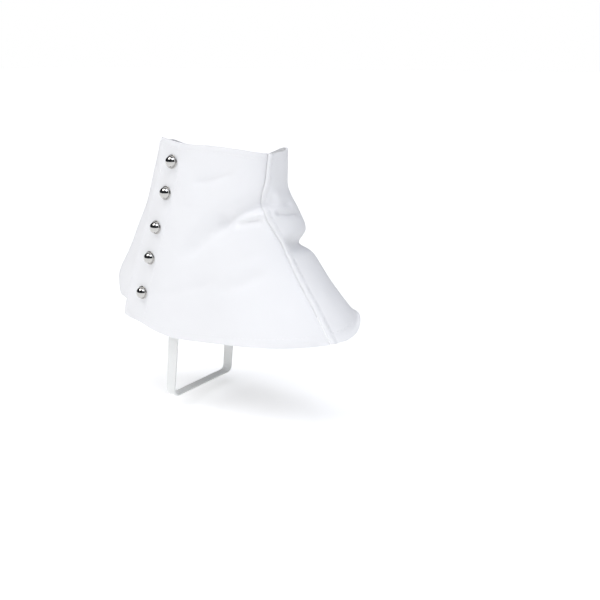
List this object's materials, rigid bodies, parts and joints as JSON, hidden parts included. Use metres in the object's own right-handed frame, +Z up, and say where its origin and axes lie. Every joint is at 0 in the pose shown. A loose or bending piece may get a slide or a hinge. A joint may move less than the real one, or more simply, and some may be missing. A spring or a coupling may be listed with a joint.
{
  "type": "spat",
  "caption": "White cloth spat for the right foot, closed by a row of domed press buttons down the outer side, with an elastic strap under the arch.",
  "frame": {"origin": "the wearer's ankle joint centre, inside the spat, 110 mm above the floor the shoe stands on and 75 mm ahead of the back of the shoe's heel", "axes": "+Z up the leg, -Y towards the toe, +X towards the inner side of the right foot (the wearer's left); the buttons are on the -X side"},
  "size_m": [0.0826, 0.1951, 0.1823],
  "materials": {
    "cotton": "brushed white cotton canvas",
    "elastic": "white ribbed elastic tape",
    "nickel": "polished nickel"
  },
  "bodies": {
    "root": {"outer_panel": "cotton", "inner_panel": "cotton", "strap": "elastic", "button_1": "nickel", "button_2": "nickel", "button_3": "nickel", "button_4": "nickel", "button_5": "nickel"}
  },
  "joints": []
}
